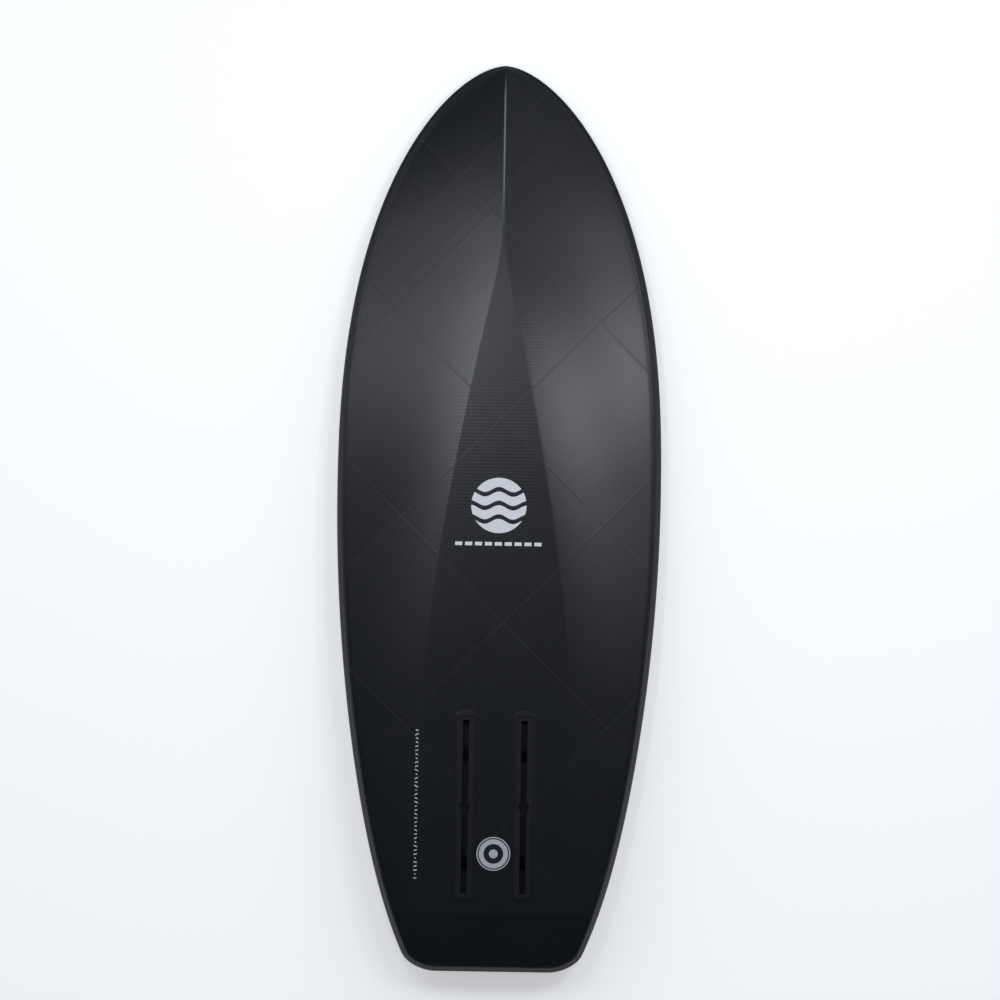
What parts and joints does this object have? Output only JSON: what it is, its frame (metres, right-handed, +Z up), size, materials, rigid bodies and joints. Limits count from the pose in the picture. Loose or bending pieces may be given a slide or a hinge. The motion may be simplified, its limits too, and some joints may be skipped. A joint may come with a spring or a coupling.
{
  "type": "hydrofoil kiteboard",
  "caption": "Carbon hydrofoil kiteboard with a pointed nose, squared tail, faceted underside with two foil tracks and sliding T-nuts, and a padded deck.",
  "frame": {"origin": "on the floor under the deck pads, on the board's centreline, halfway between nose and tail; the board lies on its deck with the underside up, as it does when a foil is fitted", "axes": "+Z up out of the underside, +Y towards the nose, +X to the right as the underside is looked at with the nose up"},
  "size_m": [0.499, 1.397, 0.0874],
  "materials": {
    "core_foam": "matte",
    "dense_foam": "matte",
    "carbon_underside": "matte",
    "carbon_deck": "matte",
    "carbon_rail": "matte",
    "carbon_patch": "matte",
    "track_nylon": "satin",
    "nut_steel": "satin",
    "bush_brass": "satin",
    "cup_nylon": "satin",
    "pin_steel": "satin",
    "eva_pad": "matte",
    "decal_white": "satin",
    "sticker_silver": "satin"
  },
  "bodies": {
    "board": {"core_blank": "core_foam", "deck_reinforcement": "dense_foam", "bottom_skin": "carbon_underside", "deck_skin": "carbon_deck", "rail_wrap": "carbon_rail", "track_block_left": "dense_foam", "track_block_right": "dense_foam", "track_patch_left": "carbon_patch", "track_patch_right": "carbon_patch", "foil_track_left": "track_nylon", "foil_track_right": "track_nylon", "strap_plugs_front": "dense_foam", "strap_plugs_rear": "dense_foam", "strap_bushes_front": "bush_brass", "strap_bushes_rear": "bush_brass", "leash_cup": "cup_nylon", "leash_pin": "pin_steel", "deck_pad_front_left": "eva_pad", "deck_pad_front_right": "eva_pad", "deck_pad_rear_left": "eva_pad", "deck_pad_rear_right": "eva_pad", "emblem_decal": "decal_white", "badge_sticker": "sticker_silver"},
    "nut_front_left": {"t_nut_front_left": "nut_steel"},
    "nut_front_right": {"t_nut_front_right": "nut_steel"},
    "nut_rear_left": {"t_nut_rear_left": "nut_steel"},
    "nut_rear_right": {"t_nut_rear_right": "nut_steel"}
  },
  "joints": [
    {"name": "nut_front_left_slide", "type": "slide", "parent": "board", "child": "nut_front_left", "axis": [0, 1, 0], "range_m": [-0.073, 0.042]},
    {"name": "nut_front_right_slide", "type": "slide", "parent": "board", "child": "nut_front_right", "axis": [0, 1, 0], "range_m": [-0.073, 0.042]},
    {"name": "nut_rear_left_slide", "type": "slide", "parent": "board", "child": "nut_rear_left", "axis": [0, 1, 0], "range_m": [-0.042, 0.073]},
    {"name": "nut_rear_right_slide", "type": "slide", "parent": "board", "child": "nut_rear_right", "axis": [0, 1, 0], "range_m": [-0.042, 0.073]}
  ]
}
